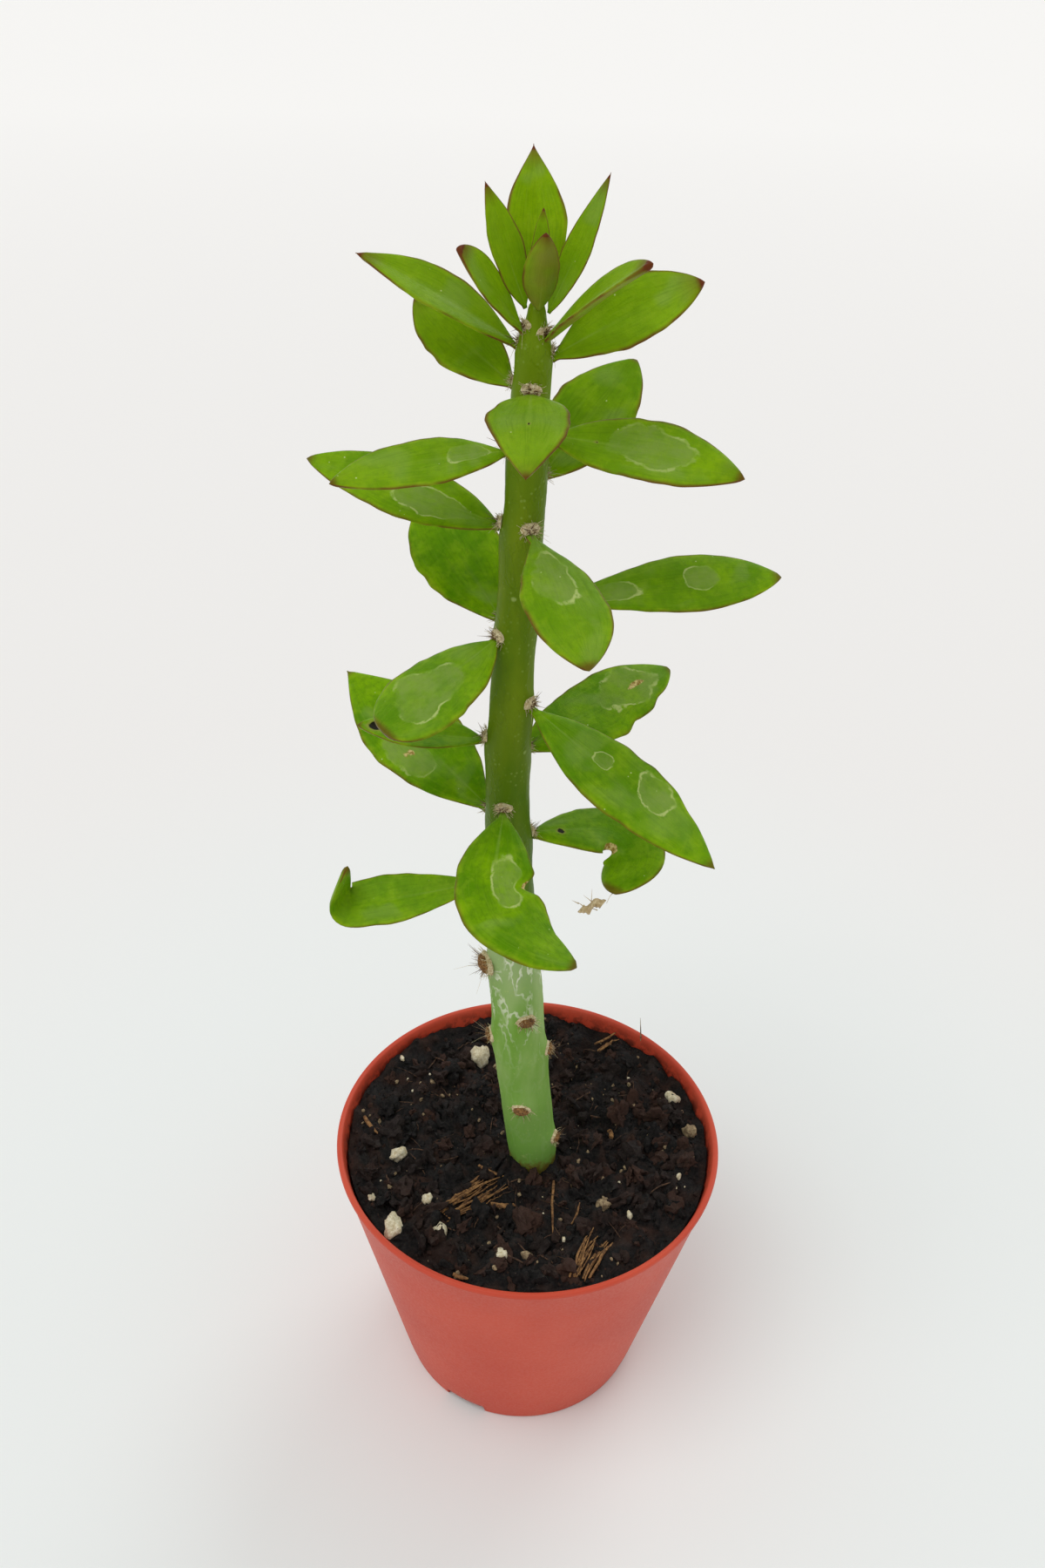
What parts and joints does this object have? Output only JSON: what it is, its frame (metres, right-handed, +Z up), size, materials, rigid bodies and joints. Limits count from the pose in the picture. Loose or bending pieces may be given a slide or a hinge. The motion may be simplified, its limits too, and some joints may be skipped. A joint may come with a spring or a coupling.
{
  "type": "potted pereskiopsis",
  "caption": "Leafy cactus cutting with an upright green stem, pointed fleshy leaves and woolly spine cushions, rooted in a small tapered nursery pot of dark soil",
  "frame": {"origin": "centre of the pot's flat underside", "axes": "+Z up along the pot and stem; +X to the right and -Y towards the viewer when the plant is seen from the front"},
  "size_m": [0.0546, 0.0546, 0.1697],
  "materials": {
    "pot": "satin terracotta red plastic",
    "soil": "dark moist potting mix",
    "stem": "green fleshy skin, paler and woodier low down",
    "leaf": "satin fleshy green leaf",
    "perlite": "chalky cream grain",
    "fibre": "dry bark fibre",
    "scrap": "dry papery scrap"
  },
  "bodies": {
    "root": {"pot": "pot", "soil": "soil", "stem": "stem", "leaf_01": "leaf", "leaf_02": "leaf", "leaf_03": "leaf", "leaf_04": "leaf", "leaf_05": "leaf", "leaf_06": "leaf", "leaf_07": "leaf", "leaf_08": "leaf", "leaf_09": "leaf", "leaf_10": "leaf", "leaf_11": "leaf", "leaf_12": "leaf", "leaf_13": "leaf", "leaf_14": "leaf", "leaf_15": "leaf", "leaf_16": "leaf", "leaf_17": "leaf", "leaf_18": "leaf", "leaf_19": "leaf", "leaf_20": "leaf", "leaf_21": "leaf", "leaf_22": "leaf", "leaf_23": "leaf", "leaf_24": "leaf", "leaf_25": "leaf", "leaf_26": "leaf", "perlite_01": "perlite", "perlite_02": "perlite", "perlite_03": "perlite", "perlite_04": "perlite", "perlite_05": "perlite", "perlite_06": "perlite", "perlite_07": "perlite", "perlite_08": "perlite", "perlite_09": "perlite", "perlite_10": "perlite", "fibre_1": "fibre", "fibre_2": "fibre", "fibre_3": "fibre", "fibre_4": "fibre", "dry_scrap": "scrap"}
  },
  "joints": []
}
